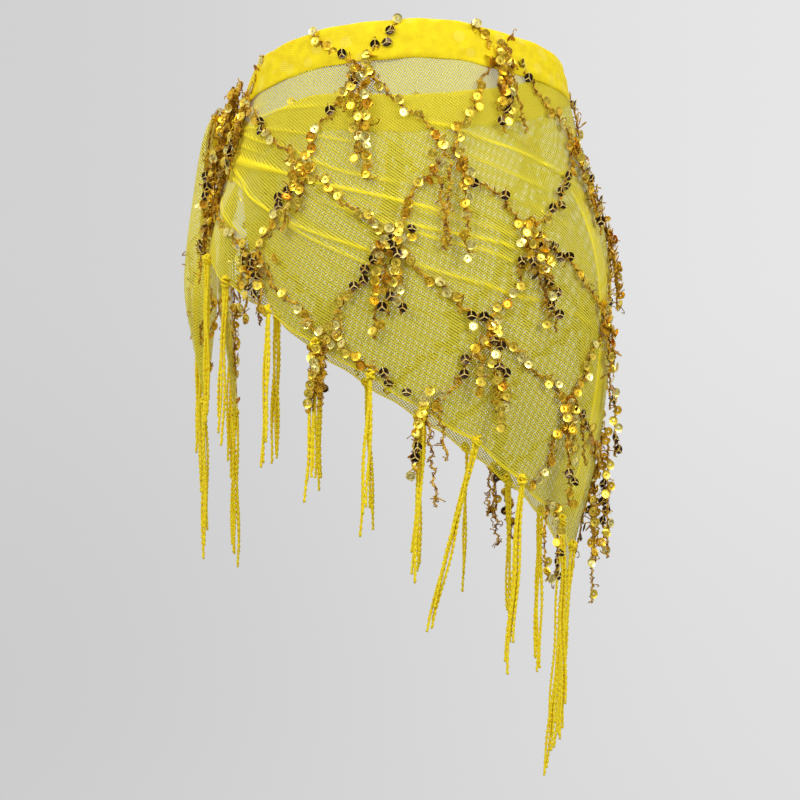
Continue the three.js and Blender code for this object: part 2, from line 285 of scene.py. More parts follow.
def crease_lift(angle, share, tall):
    """How far the creases lift the cloth, and how many layers more it has: the sum over the creases of each
    one's ridge, which fades out smoothly over its last stretch, but not where it runs into the knot. To that
    come the two turned edges, and the gathers by the knot."""
    lift, layers = np.zeros_like(angle), np.zeros_like(angle)
    for angles, shares, height, half_width, doubled in back_creases + front_creases:
        line = table("angle share", list(zip(angles, shares)))
        low, high = min(angles), max(angles)
        starts = 1.0 if low < -90 else np.clip((angle - low) / FADE_IN, 0, 1)
        ends = 1.0 if high > 240 else np.clip((high - angle) / FADE_OUT, 0, 1)
        fade = starts * ends
        fade = fade * fade * (3 - 2 * fade)
        ridge = bump((share - along(line, "angle", "share", angle)) * tall, half_width)
        lift += CREASE_HEIGHT * height * fade * ridge
        layers += CREASE_LAYERS * doubled * fade * ridge**2.4
    for line in turned_edges:
        off = (angle - along(line, "share", "angle", share)) * MM_PER_DEGREE
        fade = np.clip((share - TURN_START) / 0.15, 0, 1) * np.clip((1 - share) / 0.1, 0, 1)
        lift += 1.6 * fade * bump(off, TURN_HALF)
        layers += fade * np.clip(TURN_HALF + 0.5 - np.abs(off), 0, 1)
        layers += 1.5 * fade * bump(np.abs(off) - TURN_HALF, 1.2)
    # The gathers crowd together towards the knot, and the cloth lies in more and more layers there.
    to_knot = np.clip(np.maximum((-54 - angle) / 34, (angle - 212) / 28), 0, 1)
    return lift, layers + KNOT_LAYERS * to_knot


def on_hips(angle, height, proud=0.0):
    """Points on the figure at angles and heights, and as far outside it as proud says: the oval's half width
    times the angle's sine, and minus its half depth times the cosine."""
    out = proud + along(edges, "angle", "lift", angle)
    wide = along(hips, "height", "half_width", height) + out
    deep = along(hips, "height", "half_depth", height) + out
    turned = np.radians(angle)
    return np.stack([wide * np.sin(turned), -deep * np.cos(turned), height + 0 * angle], -1) * MM


BAND_HEIGHT, BAND_SHARE = 32, 0.34


def cloth_edges(angle):
    """The top, the band's lower edge and the hem of the cloth at an angle. The band is of one height, but by
    the knot never more than its share of the cloth."""
    top = along(edges, "angle", "top", angle)
    hem = along(edges, "angle", "hem", angle)
    return top, top - np.minimum(BAND_HEIGHT, BAND_SHARE * (top - hem)), hem


def on_cloth(angle, height, proud=0.0):
    """Points on the creased cloth, and as far outside it as proud says, with the layers there: the figure,
    the creases' lift, and two long slanting waves as a gentle sway."""
    top, _, hem = cloth_edges(angle)
    lift, layers = crease_lift(angle, (top - height) / (top - hem), top - hem)
    sway = 0.9 * np.sin(angle * 0.11 + height * 0.021) + 0.6 * np.sin(angle * 0.31 - height * 0.04 + 1)
    return on_hips(angle, height, proud + lift + sway), layers


# Distance round the figure from the back's middle, for each whole degree, at the level of the widest hips.
WIDEST, DEEPEST = hips["half_width"].max(), hips["half_depth"].max()
whole_degrees = np.arange(-110.0, 260.0)
turned = np.radians(whole_degrees)
steps_round = np.hypot(WIDEST * np.cos(turned), DEEPEST * np.sin(turned))
round_hips = np.cumsum(steps_round) * math.pi / 180
round_hips -= np.interp(0, whole_degrees, round_hips)


def angle_at(distance, height):
    """The angle at a distance round the figure from the back's middle, at a height: that of the widest oval,
    at the distance scaled to it."""
    scaled = distance * WIDEST / along(hips, "height", "half_width", height)
    return np.interp(scaled, round_hips, whole_degrees)


def net_material(name, colour, shaded, doubled, rows):
    """Sheer knitted net: crossing rows of slanting threads, see-through between them. Each row has its slant,
    its pitch in metres and the share of the pitch that is thread. A thread is shaded where it shows through
    the first row's gaps. Where the cloth lies double, the further layers' threads fill the holes: each layer
    leaves half of what was open."""
    material = bpy.data.materials.new(name)
    tree, shader = nodes_of(material)
    link = tree.links.new

    def maths(operation, a, b=None):
        """The output of one maths node, on sockets or numbers."""
        node = tree.nodes.new("ShaderNodeMath")
        node.operation = operation
        for socket, value in zip(node.inputs, (a, b)):
            if isinstance(value, (int, float)):
                socket.default_value = value
            elif value is not None:
                link(value, socket)
        return node.outputs[0]

    uv = tree.nodes.new("ShaderNodeUVMap")
    uv.uv_map = "UVMap"
    split = tree.nodes.new("ShaderNodeSeparateXYZ")
    link(uv.outputs["UV"], split.inputs[0])
    u, v = split.outputs[0], split.outputs[1]
    gaps = []
    for slant, pitch, width in rows:
        across = maths("ADD", v, maths("MULTIPLY", u, slant))
        wave = maths("ABSOLUTE", maths("SINE", maths("MULTIPLY", across, math.pi / pitch)))
        gaps.append(maths("GREATER_THAN", wave, math.sin(math.pi / 2 * width)))
    layered = tree.nodes.new("ShaderNodeAttribute")
    layered.attribute_name = "layers"
    extra = layered.outputs["Fac"]
    holes = maths("POWER", 0.5, extra)
    alpha = maths("SUBTRACT", 1.0, maths("MULTIPLY", maths("MULTIPLY", *gaps), holes))
    link(alpha, shader.inputs["Alpha"])
    shade = tree.nodes.new("ShaderNodeMix")
    shade.data_type = "RGBA"
    link(gaps[0], shade.inputs["Factor"])
    shade.inputs["A"].default_value = (*colour, 1)
    shade.inputs["B"].default_value = (*shaded, 1)
    tint = tree.nodes.new("ShaderNodeMix")
    tint.data_type = "RGBA"
    link(maths("MULTIPLY", extra, 0.55), tint.inputs["Factor"])
    link(shade.outputs["Result"], tint.inputs["A"])
    tint.inputs["B"].default_value = (*doubled, 1)
    link(tint.outputs["Result"], shader.inputs["Base Color"])
    shader.inputs["Roughness"].default_value = 0.62
    shader.inputs["Sheen Weight"].default_value = 0.08
    shader.inputs["Specular IOR Level"].default_value = 0.15
    return material


net = net_material("yellow_net", (0.74, 0.65, 0.045), (0.40, 0.355, 0.028), (0.99, 0.82, 0.015),
                   [(0.62, 0.0025, 0.48), (-1.25, 0.0033, 0.41)])
NET_COLUMNS, NET_ROWS = 560, 150
# How deep the hem ripples, how far the net goes up inside the band, how far it lies inside the band's middle,
# and the share of its height at which its rolled edge starts, with the layers there.
HEM_RIPPLE, TUCKED_IN, NET_INSIDE = 1.2, 4, 0.6
ROLLED_EDGE, EDGE_LAYERS = 0.988, 1.8
net_angle, net_share = np.meshgrid(
    np.linspace(KNOT_BACK, KNOT_FRONT, NET_COLUMNS), np.linspace(0, 1, NET_ROWS), indexing="xy")
_, band_low, net_hem = cloth_edges(net_angle)
net_hem = net_hem + HEM_RIPPLE * np.sin(net_angle * 0.42)
net_height = band_low + TUCKED_IN + (net_hem - band_low - TUCKED_IN) * net_share
net_points, net_layers = on_cloth(net_angle, net_height, -NET_INSIDE)
net_round = np.interp(net_angle, whole_degrees, round_hips) * MM
net_uv = np.stack([net_round, net_height * MM], -1)
edge_layers = EDGE_LAYERS * np.clip((net_share - ROLLED_EDGE) / 0.008, 0, 1)
net_sheet = add_mesh("net", net_points.reshape(-1, 3), grid_faces(NET_ROWS, NET_COLUMNS), net,
                     uv=net_uv.reshape(-1, 2), layers=(net_layers + edge_layers).ravel())
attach(net_sheet, "root")
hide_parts("net_gather_back", "net_back", "net_point", "net_front", "net_gather_front")


# --- The waistband --------------------------------------------------------
# The triangle's long edge, rolled down on itself in four or five layers. It is nearly opaque, and the sequins
# that are rolled in with it show faintly through its outer layer.

def band_material():
    """Layered yellow net: a fine slanting weave, soft mottling, and the pale discs of the sequins inside."""
    material = bpy.data.materials.new("rolled_net")
    tree, shader = nodes_of(material)
    link = tree.links.new
    place = tree.nodes.new("ShaderNodeTexCoord").outputs["Object"]
    mottle = tree.nodes.new("ShaderNodeTexNoise")
    mottle.inputs["Scale"].default_value = 130
    mottle.inputs["Detail"].default_value = 5
    discs = tree.nodes.new("ShaderNodeTexVoronoi")
    discs.inputs["Scale"].default_value = 66
    link(place, mottle.inputs["Vector"])
    link(place, discs.inputs["Vector"])
    disc_edge = tree.nodes.new("ShaderNodeValToRGB")
    disc_edge.color_ramp.elements[0].position = 0.30
    disc_edge.color_ramp.elements[0].color = (0.16, 0.16, 0.16, 1)
    disc_edge.color_ramp.elements[1].position = 0.34
    disc_edge.color_ramp.elements[1].color = (0, 0, 0, 1)
    link(discs.outputs["Distance"], disc_edge.inputs["Fac"])
    tones = tree.nodes.new("ShaderNodeValToRGB")
    tones.color_ramp.elements[0].position = 0.36
    tones.color_ramp.elements[0].color = (0.86, 0.65, 0.008, 1)
    tones.color_ramp.elements[1].position = 0.62
    tones.color_ramp.elements[1].color = (0.96, 0.76, 0.008, 1)
    link(mottle.outputs["Fac"], tones.inputs["Fac"])
    ghosts = tree.nodes.new("ShaderNodeMix")
    ghosts.data_type = "RGBA"
    link(disc_edge.outputs["Color"], ghosts.inputs["Factor"])
    link(tones.outputs["Color"], ghosts.inputs["A"])
    ghosts.inputs["B"].default_value = (0.99, 0.86, 0.22, 1)
    link(ghosts.outputs["Result"], shader.inputs["Base Color"])
    weave = tree.nodes.new("ShaderNodeTexWave")
    weave.inputs["Scale"].default_value = 330
    weave.bands_direction = "DIAGONAL"
    link(place, weave.inputs["Vector"])
    relief = tree.nodes.new("ShaderNodeBump")
    relief.inputs["Strength"].default_value = 0.18
    relief.inputs["Distance"].default_value = 0.0004
    link(weave.outputs["Fac"], relief.inputs["Height"])
    link(relief.outputs["Normal"], shader.inputs["Normal"])
    shader.inputs["Roughness"].default_value = 0.65
    shader.inputs["Specular IOR Level"].default_value = 0.15
    return material


def end_faces(sides):
    """Quads that close a ring of an even number of points, side by side like a ladder's rungs. They look
    along the axis that the ring turns round."""
    k = np.arange(sides // 2 - 1)
    return np.stack([k, k + 1, sides - 2 - k, sides - 1 - k], -1)


rolled_net = band_material()
BAND_COLUMNS, BAND_SIDES = 420, 28
BAND_HALF_THICK = 1.9
band_angle = np.linspace(KNOT_BACK - 1.5, KNOT_FRONT + 1.5, BAND_COLUMNS)[:, None]
round_section = np.linspace(0, 2 * np.pi, BAND_SIDES, endpoint=False)[None, :]
band_top, band_bottom, _ = cloth_edges(band_angle)
band_half = (band_top - band_bottom) / 2
# Over its last three degrees at either end it closes in, like the end of a roll.
close = np.sqrt(np.clip(np.minimum(band_angle - band_angle[0], band_angle[-1] - band_angle) / 3, 0.01, 1))
# The section is a flat oval with square shoulders; long shallow wrinkles run round it, drifting up and down.
up = np.sign(np.cos(round_section)) * np.abs(np.cos(round_section)) ** 0.55
out = np.sign(np.sin(round_section)) * np.abs(np.sin(round_section)) ** 0.8
wrinkle = (0.35 * np.sin(up * 5.2 + band_angle * 0.09) + 0.22 * np.sin(up * 9 - band_angle * 0.16 + 2)
           + 0.2 * np.sin(band_angle * 0.52 + 3 * up) * np.sin(band_angle * 0.07))
edge_drift = 0.5 * np.sin(band_angle * 0.13) + 0.3 * np.sin(band_angle * 0.37 + 1)
band_height = (band_top + band_bottom) / 2 + close * up * (band_half + 0.6 + edge_drift * np.sign(up))
band_proud = -0.2 + close * (out * BAND_HALF_THICK + np.where(out > 0, wrinkle * out, 0))
band_points = on_hips(band_angle + 0 * round_section, band_height, band_proud)
band_faces = np.concatenate([
    grid_faces(BAND_COLUMNS, BAND_SIDES, closed=True)[:, ::-1],
    end_faces(BAND_SIDES)[:, ::-1],
    end_faces(BAND_SIDES) + (BAND_COLUMNS - 1) * BAND_SIDES,
])
band = add_mesh("waistband", band_points.reshape(-1, 3), band_faces, rolled_net)
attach(band, "root")
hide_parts("band_back", "band_side", "band_front")


# --- The sequin strings ---------------------------------------------------
# Chain-stitched ochre thread is sewn on in slanting diamonds, with 8 mm flat sequins threaded on it every
# 10 mm or so. Bunches of loose strings hang from the corners. A sequin that lies face down is dark, with
# three pale stitches across it.

rng = np.random.default_rng(7)
SEQUIN_RADIUS = 4.0
SEQUIN_STEP = 9.5
# From one corner to the next one beside it and to the row below, and how far each row is shifted.
CORNER_WIDE, CORNER_TALL, CORNER_DRIFT = 120.0, 73.0, 15.0
CHAIN_RADIUS, WRAP_RADIUS, LOOP_RADIUS, STITCH_RADIUS = 0.76, 0.58, 0.48, 0.44
# How many strings have a run of sequins face down, and how many steps between sequins are long ones.
FACE_DOWN_CHANCE, LONG_STEP_CHANCE = 0.42, 0.13
# The steps along a loose string, and the radius that makes its sideways swing an angle.
STRING_STEP = 1.7
SWING_RADIUS = 150


class Strings:
    """Sequin strings: the chains' routes and the ways out from the cloth along them, and for each sequin its
    middle, the way it faces before it is tilted, how far it tilts, and whether it is face down."""

    def __init__(self):
        self.routes, self.ways_out = [], []
        self.spots, self.facing, self.tilts, self.face_down = [], [], [], []

    def add_sequin(self, spot, facing, tilt, face_down):
        """Adds one sequin."""
        self.spots.append(spot)
        self.facing.append(facing)
        self.tilts.append(tilt)
        self.face_down.append(face_down)

    def sew(self, points, outward, sequins=True, loose=0.0):
        """Adds a string along points, with sequins to alternate sides of it at uneven steps. On some strings
        a run of neighbouring sequins lies face down."""
        if len(points) < 4:
            return
        self.routes.append(points)
        self.ways_out.append(outward)
        lengths = np.concatenate([[0], np.cumsum(np.linalg.norm(np.diff(points, axis=0), axis=1))])
        run_start = rng.uniform(0, lengths[-1]) if rng.uniform() < FACE_DOWN_CHANCE else math.inf
        run_end = run_start + rng.uniform(18, 48)
        place = SEQUIN_STEP * rng.uniform(0.2, 0.9)
        side = 1
        while sequins and place < lengths[-1]:
            spot = np.array([np.interp(place, lengths, points[:, k]) for k in range(3)])
            n = int(np.searchsorted(lengths, place))
            facing = outward[n]
            way = points[min(n + 1, len(points) - 1)] - points[n - 1]
            across = np.cross(facing, way / (np.linalg.norm(way) + 1e-9))
            spot = spot + across * side * rng.uniform(1.0, 2.8) + facing * rng.uniform(1.0, 2.4 + loose)
            tilt = rng.uniform(0.08, 0.34 + 0.3 * (loose > 0))
            self.add_sequin(spot, facing, tilt, run_start < place < run_end)
            side = -side
            place += SEQUIN_STEP * rng.uniform(0.74, 1.2) * (2.4 if rng.uniform() < LONG_STEP_CHANCE else 1)


def facing_out(angle, height):
    """The level outward direction of the figure at a place: the angle's sine over the oval's half width, and
    minus its cosine over the half depth, made one long."""
    wide = along(hips, "height", "half_width", height)
    deep = along(hips, "height", "half_depth", height)
    normal = np.stack([np.sin(np.radians(angle)) / wide, -np.cos(np.radians(angle)) / deep, 0 * angle], -1)
    return normal / np.linalg.norm(normal, axis=-1, keepdims=True)


def hanging(start_angle, start_height, length, proud, swing):
    """A loose string's route: straight down with small kinks, outside the cloth, and never back in under what
    it hangs over, so its half width and half depth only grow on the way down."""
    down = np.arange(0, length, STRING_STEP)
    height = start_height - down
    kink = 1.3 * np.sin(down * rng.uniform(0.28, 0.42) + rng.uniform(0, 6))
    kink = kink + 0.7 * np.sin(down * 0.9 + swing)
    angle = start_angle + np.degrees((swing * down + kink) / SWING_RADIUS)
    wide = np.maximum.accumulate(along(hips, "height", "half_width", height))
    deep = np.maximum.accumulate(along(hips, "height", "half_depth", height))
    out = proud + 2.5 * np.clip(down / 12, 0, 1) + along(edges, "angle", "lift", angle)
    turned = np.radians(angle)
    points = np.stack([(wide + out) * np.sin(turned), -(deep + out) * np.cos(turned), height], -1)
    return points, facing_out(angle, height)


def rising(distance):
    """How far the diamonds move up at a distance round the figure from the back's middle: a tenth of it."""
    return 0.1 * np.clip(distance, -260, 260)


# The corners of the diamonds: each one's distance round the figure and its height. Every other row is also
# shifted by half a diamond.
sewn = Strings()
corners = {}
FIRST_ROUND, FIRST_HEIGHT = -42, -1
for row in range(-1, 7):
    for place in range(-5, 9):
        distance = FIRST_ROUND + CORNER_WIDE * place + CORNER_WIDE / 2 * (row % 2) + CORNER_DRIFT * row
        height = FIRST_HEIGHT - CORNER_TALL * row
        corners[row, place] = (distance + rng.uniform(-6, 6), height + rng.uniform(-6, 6))

for (row, place), (distance, height) in corners.items():
    for ahead in (0, 1) if row % 2 else (-1, 0):
        end = corners.get((row + 1, place + ahead))
        if end is None:
            continue
        steps = np.linspace(0, 1, 56)
        length = math.hypot(end[0] - distance, end[1] - height)
        bow = rng.uniform(-7, 7) * np.sin(np.pi * steps)
        bow = bow + 3.2 * np.sin(steps * rng.uniform(10, 15) + rng.uniform(0, 6))
        zigzag = 1.3 * np.sin(steps * length / SEQUIN_STEP * math.pi + 1)
        sideways = distance + (end[0] - distance) * steps + bow + zigzag
        drift = rng.uniform(-2, 2) * np.sin(2 * np.pi * steps)
        down = height + (end[1] - height) * steps + drift + rising(sideways)
        angle = angle_at(sideways, down)
        top, _, hem = cloth_edges(angle)
        inside = (angle > KNOT_BACK + 2) & (angle < KNOT_FRONT - 2) & (down > hem + 3) & (down < top + 2)
        points, _ = on_cloth(angle, down, 1.7)
        outward = facing_out(angle, down)
        for run in np.split(np.arange(len(steps)), np.flatnonzero(np.diff(inside.astype(int))) + 1):
            if inside[run[0]]:
                sewn.sew(points[run] / MM, outward[run])
    height = height + rising(distance)
    angle = float(angle_at(np.array(distance), np.array(height)))
    top, _, hem = (float(x) for x in cloth_edges(np.array(angle)))
    if not (KNOT_BACK + 3 < angle < KNOT_FRONT - 3 and hem - 6 < height < top + 6):
        continue
    height = min(max(height, hem + 4), top - 4)
    # A corner has a cluster of sequins that lie over one another, and its bunch of loose strings.
    for _ in range(rng.integers(3, 8)):
        near_angle = np.array(angle + rng.normal(0, 2.6))
        near_height = np.array(min(height + rng.normal(0, 6.5), top - 3))
        spot, _ = on_cloth(near_angle, near_height, rng.uniform(2.5, 5.0))
        sewn.add_sequin(spot / MM, facing_out(near_angle, near_height), 0.4, rng.uniform() < 0.15)
    for _ in range(rng.integers(3, 6)):
        swing = rng.uniform(-0.14, 0.14)
        points, outward = hanging(angle + rng.uniform(-4.5, 4.5), height + rng.uniform(-10, 8),
                                  rng.uniform(30, 84), 2.2, swing)
        sewn.sew(points, outward, sequins=rng.uniform() < 0.66, loose=1.5)

# A thick bunch of strings is gathered in the folds by the knot, and falls down beside the back tail.
bunch = table("height x y", [
    (0, -141, -22), (-22, -149, -12), (-45, -156, -2), (-70, -164, 2), (-92, -170, 6), (-118, -176, 10),
    (-150, -180, 12),
])
BUNCH_STRANDS = 10
for strand in range(BUNCH_STRANDS):
    height = np.arange(-rng.uniform(0, 14), -60 - rng.uniform(15, 70), -STRING_STEP)
    wobble = rng.uniform(0, 6)
    x = along(bunch, "height", "x", height) + 2.6 * np.sin(height * 0.16 + wobble) + rng.uniform(-3, 3)
    y = along(bunch, "height", "y", height) + 3.4 * np.sin(height * 0.13 + wobble * 2) + rng.uniform(-8, 5)
    outward = np.tile([-0.7, -0.7, 0.0], (len(height), 1))
    sewn.sew(np.stack([x, y, height], -1), outward, sequins=strand % 3 == 0, loose=1.0)
# Three more hang over the net's gathers beside it, between the knot and the first tassels.
for start_angle, start_height, length in [(-90, -30, 96), (-84, -52, 88), (-80, -86, 70)]:
    points, outward = hanging(start_angle, start_height, length, 2.0, 0.08)
    sewn.sew(points, outward, loose=1.0)
# Beside the point some hang clear of the cloth, with their sequins turned to the back.
for start_angle, start_height, length in [(79, -296, 112), (82, -318, 84), (76, -352, 92), (84, -262, 60)]:
    points, outward = hanging(start_angle, start_height, length, 3.5, -0.03)
    sewn.sew(points, np.tile([0.35, -0.93, 0.0], (len(points), 1)))
# One string's end is caught up again, and hangs below the hem as an open loop.
LOOP_ANGLE, LOOP_WIDE, LOOP_TALL = 48.0, 8.5, 32.0
round_loop = np.linspace(0, 2 * np.pi, 90)
loop_height = float(cloth_edges(np.array(LOOP_ANGLE))[2]) + 4 - LOOP_TALL * (1 - np.cos(round_loop))
loop_angle = LOOP_ANGLE + np.degrees(LOOP_WIDE * np.sin(round_loop) / SWING_RADIUS)
points = on_hips(loop_angle, np.full(90, loop_height.max()), 4.0) / MM
points[:, 2] = loop_height
sewn.sew(points, facing_out(loop_angle, loop_height), loose=0.5)


def tubes(routes, radius, sides):
    """Threads with closed ends: at each point of a route a ring with the given even number of sides, square
    to the way there, a little thicker and thinner by turns."""
    points, faces, start = [], [], 0
    ring = np.linspace(0, 2 * np.pi, sides, endpoint=False)
    for route in routes:
        way = np.gradient(route, axis=0)
        way /= np.linalg.norm(way, axis=1, keepdims=True) + 1e-9
        side = np.cross(way, [0.31, 0.2, 0.93])
        side /= np.linalg.norm(side, axis=1, keepdims=True) + 1e-9
        over = np.cross(way, side)
        thick = radius * (1 + 0.2 * np.sin(np.arange(len(route)) * 2.1))[:, None, None]
        turn = side[:, None] * np.cos(ring)[:, None] + over[:, None] * np.sin(ring)[:, None]
        points.append((route[:, None] + thick * turn).reshape(-1, 3))
        wall = grid_faces(len(route), sides, closed=True)[:, ::-1]
        last_ring = (len(route) - 1) * sides
        faces += [wall + start, end_faces(sides)[:, ::-1] + start, end_faces(sides) + start + last_ring]
        start += len(route) * sides
    return np.concatenate(points), np.concatenate(faces)


def thread_material(name, dark, light, scale):
    """Twisted thread, its colour varying along it from dark to light: painted shade and painted highlight, in
    noise spots.
    """
    material = bpy.data.materials.new(name)
    tree, shader = nodes_of(material)
    spots = tree.nodes.new("ShaderNodeTexNoise")
    spots.inputs["Scale"].default_value = scale
    spots.inputs["Detail"].default_value = 3
    place = tree.nodes.new("ShaderNodeTexCoord").outputs["Object"]
    tree.links.new(place, spots.inputs["Vector"])
    tones = tree.nodes.new("ShaderNodeValToRGB")
    tones.color_ramp.elements[0].position = 0.38
    tones.color_ramp.elements[0].color = (*dark, 1)
    tones.color_ramp.elements[1].position = 0.62
    tones.color_ramp.elements[1].color = (*light, 1)
    tree.links.new(spots.outputs["Fac"], tones.inputs["Fac"])
    tree.links.new(tones.outputs["Color"], shader.inputs["Base Color"])
    shader.inputs["Roughness"].default_value = 0.5
    shader.inputs["Specular IOR Level"].default_value = 0.25
    return material


# Each thread's dark tone is painted shade and its light tone a painted highlight.
ochre_thread = thread_material("ochre_thread", (0.24, 0.085, 0.003), (0.84, 0.50, 0.016), 240)
pale_thread = thread_material("pale_stitches", (0.78, 0.48, 0.08), (0.98, 0.80, 0.28), 300)

gold = bpy.data.materials.new("gold_sequins")
tree, shader = nodes_of(gold)
toned = tree.nodes.new("ShaderNodeVertexColor")
toned.layer_name = "tone"
tree.links.new(toned.outputs["Color"], shader.inputs["Base Color"])
shader.inputs["Metallic"].default_value = 0.82
shader.inputs["Roughness"].default_value = 0.24
shader.inputs["Coat Weight"].default_value = 0.2
SEQUIN_TONES = np.array([
    (1.0, 0.84, 0.24, 1), (1.0, 0.73, 0.07, 1), (0.95, 0.58, 0.025, 1), (0.78, 0.34, 0.008, 1)])
TONE_SHARES = [0.24, 0.44, 0.25, 0.07]
FACE_DOWN_TONE = np.array([0.040, 0.017, 0.005, 1])

# Each sequin is a flat disc with a small hole, slightly cupped: five rings of twelve points go out over its
# face, round the rim and back in. A ring has its radius and its height.
DISC_SIDES = 12
HOLE_RADIUS = 0.7
disc_turn = np.linspace(0, 2 * np.pi, DISC_SIDES, endpoint=False)
disc_rings = [(HOLE_RADIUS, 0.10), (SEQUIN_RADIUS * 0.55, 0.0), (SEQUIN_RADIUS, 0.38), (SEQUIN_RADIUS, 0.22),
              (HOLE_RADIUS, -0.06)]
one_disc = np.concatenate([
    np.stack([r * np.cos(disc_turn), r * np.sin(disc_turn), 0 * disc_turn + z], -1) for r, z in disc_rings])
disc_faces = grid_faces(len(disc_rings), DISC_SIDES, closed=True, ring=True)


def slotted(piece):
    """The piece itself, once it rides on the root body."""
    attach(piece, "root")
    return piece


def chain_pieces(name, strings):
    """The threads of the strings: the chain, a thinner thread wound round it in a flat zigzag of 2 mm, and
    small loops that start on it and curl away: one random reach times the curl's sine, and another times 1
    less its cosine."""
    wound, loops = [], []
    for route, outward in zip(strings.routes, strings.ways_out):
        way = np.gradient(route, axis=0)
        way /= np.linalg.norm(way, axis=1, keepdims=True) + 1e-9
        turn = np.arange(len(route)) * 1.75 + rng.uniform(0, 6)
        across = np.cross(outward, way)
        wound.append(route + 2.1 * np.cos(turn)[:, None] * across + 0.8 * np.sin(turn)[:, None] * outward)
        for start in route[rng.integers(0, len(route) - 1, max(1, len(route) // 4))]:
            curl = np.linspace(0, rng.uniform(2.4, 5.2), 6)[:, None]
            loop = start + rng.normal(0, 1.9, 3) * np.sin(curl)
            loops.append(loop + rng.normal(0, 1.5, 3) * (1 - np.cos(curl)))
    pieces = []
    for part, routes, radius in [
        ("strings", strings.routes, CHAIN_RADIUS),
        ("wound_threads", wound, WRAP_RADIUS),
        ("loops", loops, LOOP_RADIUS),
    ]:
        points, faces = tubes(routes, radius, 4)
        pieces.append(slotted(add_mesh(f"{name}_{part}", points * MM, faces, ochre_thread)))
    return pieces


def sequin_pieces(name, strings, parts):
    """The strings' sequins in a number of pieces, and the stitches over those that lie face down: three from
    the hole past the rim, a third of a turn apart. A sequin's axes are its facing, tilted at random, and two
    square to it."""
    spots, tilts = np.array(strings.spots), np.array(strings.tilts)
    count = len(spots)
    facing = np.array(strings.facing) + rng.normal(0, 1, (count, 3)) * tilts[:, None] * 1.1
    facing /= np.linalg.norm(facing, axis=1, keepdims=True)
    side = np.cross(facing, [0.0, 0.1, 1.0])
    side /= np.linalg.norm(side, axis=1, keepdims=True)
    over = np.cross(facing, side)
    points = np.einsum("kp,npq->nkq", one_disc, np.stack([side, over, facing], 1)) + spots[:, None]
    tones = SEQUIN_TONES[rng.choice(len(SEQUIN_TONES), count, p=TONE_SHARES)]
    face_down = np.array(strings.face_down)
    tones[face_down] = FACE_DOWN_TONE
    tones = np.repeat(tones[:, None], len(one_disc), 1)
    pieces = []
    for n, chosen in enumerate(np.array_split(np.arange(count), parts), 1):
        shifts = (np.arange(len(chosen)) * len(one_disc))[:, None, None]
        faces = (disc_faces[None] + shifts).reshape(-1, 4)
        piece = add_mesh(f"{name}_{n}", points[chosen].reshape(-1, 3) * MM, faces, gold, smooth=False,
                         colours=tones[chosen].reshape(-1, 4))
        pieces.append(slotted(piece))
    stitches = []
    for n in np.flatnonzero(face_down):
        for turn in np.radians([30, 150, 270]) + rng.uniform(-0.3, 0.3, 3):
            reach = (side[n] * math.cos(turn) + over[n] * math.sin(turn)) * SEQUIN_RADIUS
            stitches.append(spots[n] + np.linspace(0, 1.2, 4)[:, None] * reach + facing[n] * 0.75)
    if stitches:
        points, faces = tubes(stitches, STITCH_RADIUS, 4)
        pieces.append(slotted(add_mesh(f"{name}_stitches", points * MM, faces, pale_thread)))
    return pieces


sewn_pieces = chain_pieces("sequin", sewn) + sequin_pieces("sequins", sewn, 2)


# --- The tassels ----------------------------------------------------------
# Bundles of three to five crimped yellow yarns, looped through the hem and drawn tight in a small knot. Their
# ends are cut unevenly.

# The yarn's darker and lighter tones are painted shade and painted highlight.
yellow_yarn = thread_material("yellow_yarn", (0.92, 0.65, 0.008), (1.0, 0.84, 0.018), 420)
YARN_RADIUS, YARN_STEP = 1.12, 1.7
# Each hem tassel's angle round the figure, its length, and its lean from straight down.
hem_tassels = [
    (-74, 140, 0), (-58, 136, 2), (-40, 128, 2), (-25, 128, 3), (-10, 130, 3), (4, 140, 4), (19, 158, 14),
    (35, 158, 4), (57, 182, 0), (73, 172, 5), (92, 176, 6), (110, 160, 3), (128, 146, 1), (145, 150, 0),
    (161, 134, 2), (177, 146, 0), (193, 138, -2), (208, 130, 0), (222, 136, 1),
]


def tassel(name, node, top, length, lean):
    """One tassel from its top: a knot of four wrapped turns, and yarns that hang side by side and spread a
    little. A yarn is the way down plus its place in the bundle, a slow drift and its fine crimp."""
    lean = math.radians(lean)
    down = np.array([-math.sin(lean), 0, -math.cos(lean)])
    sideways = np.array([math.cos(lean), 0, -math.sin(lean)])
    outward = np.array([0, -1.0, 0])
    routes = []
    for k in range(rng.integers(3, 6)):
        reach = length * (1.0 if k == 0 else rng.uniform(0.78, 0.99))
        on_yarn = np.arange(3, reach, YARN_STEP)
        spread = rng.uniform(-1, 1, 2) * (3.4, 2.4)
        crimp = 0.32 * np.sin(on_yarn * rng.uniform(1.05, 1.3) + rng.uniform(0, 6))
        drift = 0.8 * np.sin(on_yarn * 0.07 + rng.uniform(0, 6))
        gathered = 0.4 + 0.6 * np.sqrt(on_yarn / length)
        beside = (spread[0] * gathered + crimp + drift)[:, None]
        proud = (spread[1] * gathered + 0.4 * np.roll(crimp, 2))[:, None]
        routes.append(top + on_yarn[:, None] * down + sideways * beside + outward * proud)
    around = np.linspace(0, 2 * np.pi, 16)[:, None]
    for below, radius in [(-2.0, 1.9), (-0.4, 2.9), (1.2, 3.2), (3.0, 2.6)]:
        routes.append(top + down * (below + 1.7 * np.sin(around + rng.uniform(0, 6)))
                      + sideways * radius * np.cos(around) + outward * 0.9 * radius * np.sin(around))
    points, faces = tubes(routes, YARN_RADIUS, 6)
    piece = slotted(add_mesh(name, points * MM, faces, yellow_yarn))
    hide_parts(node)
    return piece


